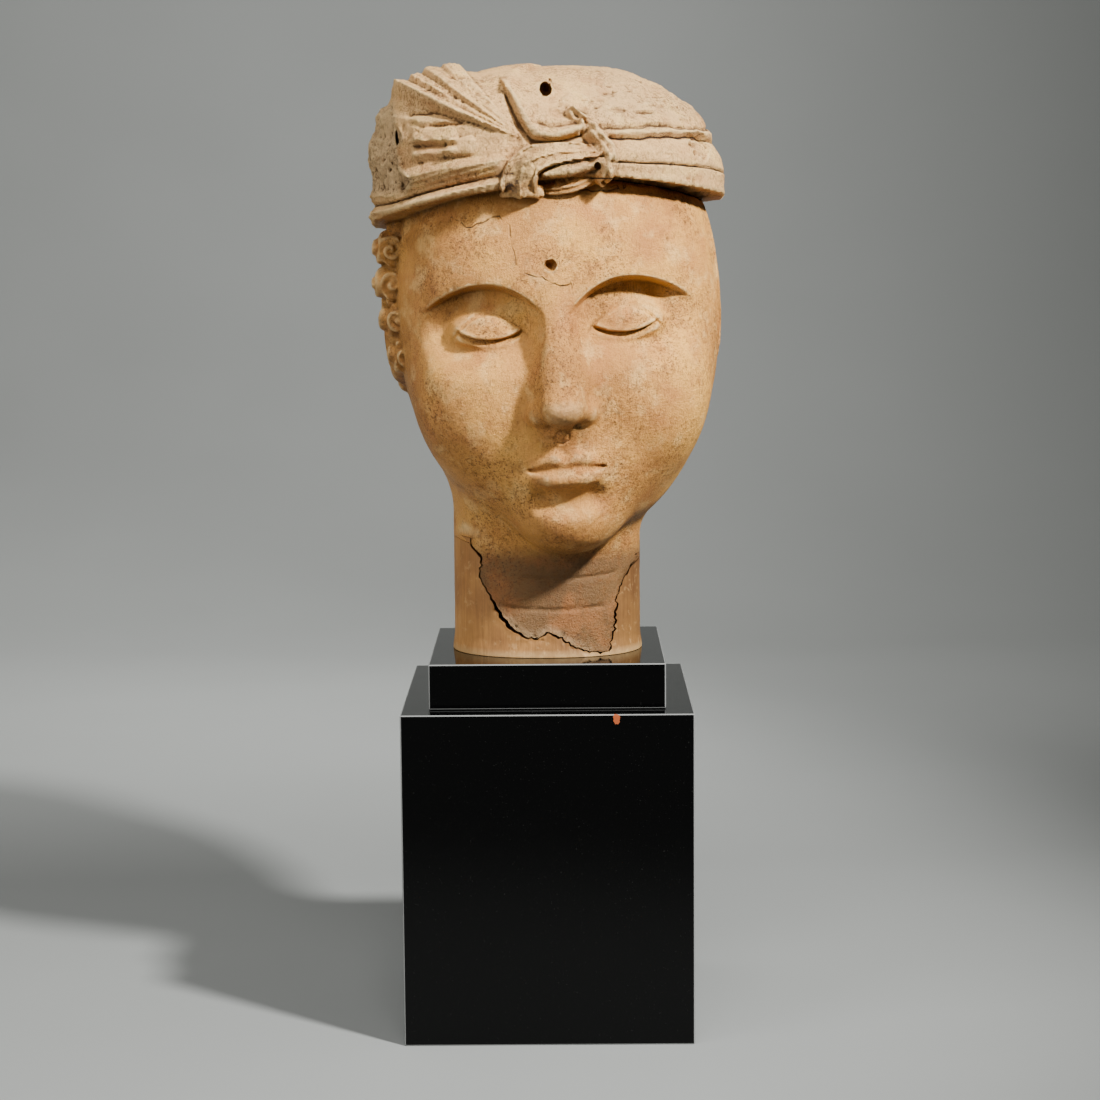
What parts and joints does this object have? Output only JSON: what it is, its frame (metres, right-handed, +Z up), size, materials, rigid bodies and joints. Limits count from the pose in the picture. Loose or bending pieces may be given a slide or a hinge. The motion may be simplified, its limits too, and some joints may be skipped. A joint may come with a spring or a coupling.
{
  "type": "stucco head on stepped mount",
  "caption": "Stucco head in a knotted turban, eyes lowered, on an old neck made up with plaster; stands on a stepped black lacquered mount.",
  "frame": {"origin": "centre of the mount's underside", "axes": "+Z up, the face looks along -Y, +X to the right of someone facing it"},
  "size_m": [0.2528, 0.2492, 0.6802],
  "materials": {
    "stucco": "matt",
    "repair_plaster": "matt",
    "black_lacquer": "gloss"
  },
  "bodies": {
    "root": {"head": "stucco", "neck_repair": "repair_plaster", "mount_step": "black_lacquer", "mount_block": "black_lacquer"}
  },
  "joints": []
}
